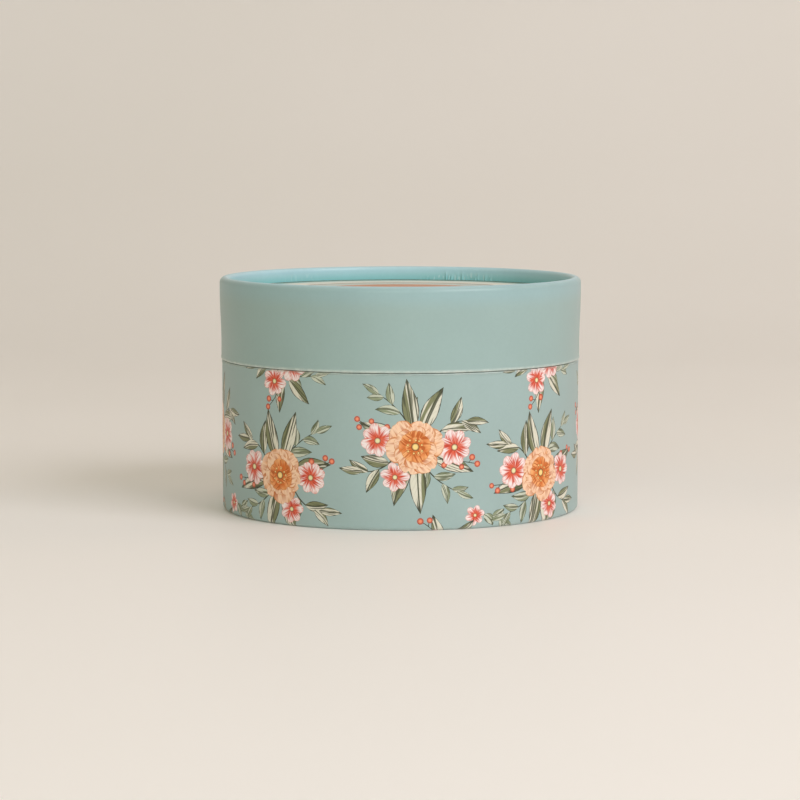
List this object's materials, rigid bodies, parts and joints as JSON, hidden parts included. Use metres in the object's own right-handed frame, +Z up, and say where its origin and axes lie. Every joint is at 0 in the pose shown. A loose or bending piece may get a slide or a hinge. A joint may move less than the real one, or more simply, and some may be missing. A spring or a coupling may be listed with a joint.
{
  "type": "gift tube box",
  "caption": "Round paper-wrapped gift box: rolled foot and rim, lift-off lid on an inner neck, printed base and a printed disc set into the lid.",
  "frame": {"origin": "centre of the flat ring the foot stands on", "axes": "+Z up along the tube's axis, from foot to lid; -Y is the side the picture shows"},
  "size_m": [0.1012, 0.1012, 0.065],
  "materials": {
    "printed_paper": "satin",
    "plain_paper": "satin",
    "label_paper": "satin",
    "inside_paper": "matt",
    "greyboard": "matt"
  },
  "bodies": {
    "base": {"base_tube": "greyboard", "base_wrap": "printed_paper", "base_disc": "greyboard", "base_underside_paper": "plain_paper", "base_floor_paper": "inside_paper", "neck_tube": "greyboard", "neck_paper": "inside_paper"},
    "lid": {"lid_tube": "greyboard", "lid_wrap": "plain_paper", "lid_lining": "inside_paper", "lid_disc": "greyboard", "lid_label": "label_paper", "lid_ceiling_paper": "inside_paper"}
  },
  "joints": [
    {"name": "lid_lift", "type": "slide", "parent": "base", "child": "lid", "axis": [0, 0, 1], "range_m": [0, 0.07]}
  ]
}
